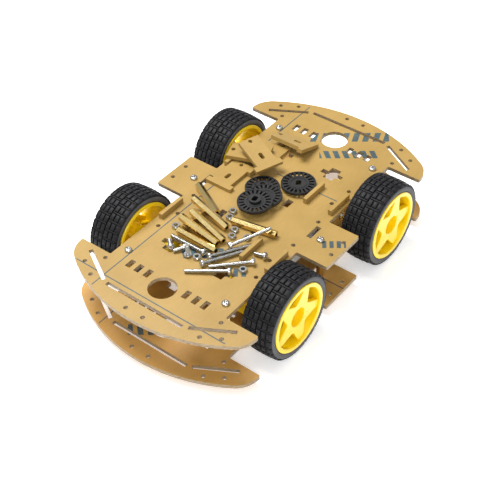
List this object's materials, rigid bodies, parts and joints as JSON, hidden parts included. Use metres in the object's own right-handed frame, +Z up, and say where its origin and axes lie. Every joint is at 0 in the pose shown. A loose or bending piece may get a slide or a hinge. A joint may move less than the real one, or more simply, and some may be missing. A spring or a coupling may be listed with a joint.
{
  "type": "robot chassis",
  "caption": "Wheeled robot car chassis: stacked slotted plates on hex standoffs, bracketed gear motors, rubber tyred wheels, and spare fasteners and encoder discs lying loose on deck.",
  "frame": {"origin": "on the floor, under the middle of the car", "axes": "+Y towards the rear of the car along its length, +X towards its left side, +Z up; the front faces -Y"},
  "size_m": [0.1644, 0.268, 0.065],
  "materials": {
    "plate_film": "clear acrylic still under its tan protective paper, matt with faint mottling",
    "bracket_film": "the same paper-covered acrylic, pale cut edges",
    "brass": "bright turned hexagonal brass",
    "screw_steel": "bright nickel plated steel",
    "can_steel": "plain rolled steel can",
    "cap_plastic": "white moulded nylon",
    "strap_plastic": "thin milky strap",
    "gearbox_yellow": "glossy yellow moulded shell",
    "shaft_nylon": "off-white nylon shaft",
    "rim_yellow": "glossy bright yellow moulding",
    "tyre_rubber": "matt black rubber with square tread blocks and a smooth greyish side wall",
    "disc_black": "black moulded plastic with a slight sheen"
  },
  "bodies": {
    "chassis": {"upper_plate": "plate_film", "lower_plate": "plate_film", "plate_standoffs": "brass", "standoff_screws": "screw_steel", "bracket_bolts": "screw_steel", "bracket_nuts": "screw_steel", "motor_bracket_outer_front_left": "bracket_film", "gearbox_outer_shell_front_left": "gearbox_yellow", "motor_bracket_inner_front_left": "bracket_film", "gearbox_inner_shell_front_left": "gearbox_yellow", "motor_can_front_left": "can_steel", "motor_end_cap_front_left": "cap_plastic", "motor_strap_front_left": "strap_plastic", "motor_bracket_outer_front_right": "bracket_film", "gearbox_outer_shell_front_right": "gearbox_yellow", "motor_bracket_inner_front_right": "bracket_film", "gearbox_inner_shell_front_right": "gearbox_yellow", "motor_can_front_right": "can_steel", "motor_end_cap_front_right": "cap_plastic", "motor_strap_front_right": "strap_plastic", "motor_bracket_outer_rear_left": "bracket_film", "gearbox_outer_shell_rear_left": "gearbox_yellow", "motor_bracket_inner_rear_left": "bracket_film", "gearbox_inner_shell_rear_left": "gearbox_yellow", "motor_can_rear_left": "can_steel", "motor_end_cap_rear_left": "cap_plastic", "motor_strap_rear_left": "strap_plastic", "motor_bracket_outer_rear_right": "bracket_film", "gearbox_outer_shell_rear_right": "gearbox_yellow", "motor_bracket_inner_rear_right": "bracket_film", "gearbox_inner_shell_rear_right": "gearbox_yellow", "motor_can_rear_right": "can_steel", "motor_end_cap_rear_right": "cap_plastic", "motor_strap_rear_right": "strap_plastic"},
    "wheel_front_left": {"rim_front_left": "rim_yellow", "tyre_front_left": "tyre_rubber", "output_shaft_front_left": "shaft_nylon"},
    "wheel_front_right": {"rim_front_right": "rim_yellow", "tyre_front_right": "tyre_rubber", "output_shaft_front_right": "shaft_nylon"},
    "wheel_rear_left": {"rim_rear_left": "rim_yellow", "tyre_rear_left": "tyre_rubber", "output_shaft_rear_left": "shaft_nylon"},
    "wheel_rear_right": {"rim_rear_right": "rim_yellow", "tyre_rear_right": "tyre_rubber", "output_shaft_rear_right": "shaft_nylon"},
    "loose_hardware": {"encoder_disc_1": "disc_black", "encoder_disc_2": "disc_black", "encoder_disc_3": "disc_black", "encoder_disc_4": "disc_black", "loose_brackets": "bracket_film", "loose_standoffs": "brass", "loose_long_screws": "screw_steel", "loose_short_screws": "screw_steel", "loose_nuts": "screw_steel"}
  },
  "joints": [
    {"name": "wheel_spin_front_left", "type": "hinge", "parent": "chassis", "child": "wheel_front_left", "pos_m": [0.0366, -0.057, 0.0325], "axis": [1, 0, 0], "continuous": true},
    {"name": "wheel_spin_front_right", "type": "hinge", "parent": "chassis", "child": "wheel_front_right", "pos_m": [-0.0366, -0.057, 0.0325], "axis": [1, 0, 0], "continuous": true},
    {"name": "wheel_spin_rear_left", "type": "hinge", "parent": "chassis", "child": "wheel_rear_left", "pos_m": [0.0366, 0.057, 0.0325], "axis": [1, 0, 0], "continuous": true},
    {"name": "wheel_spin_rear_right", "type": "hinge", "parent": "chassis", "child": "wheel_rear_right", "pos_m": [-0.0366, 0.057, 0.0325], "axis": [1, 0, 0], "continuous": true},
    {"name": "loose_hardware_lift", "type": "slide", "parent": "chassis", "child": "loose_hardware", "axis": [0, 0, 1], "range_m": [0, 0.12]}
  ]
}
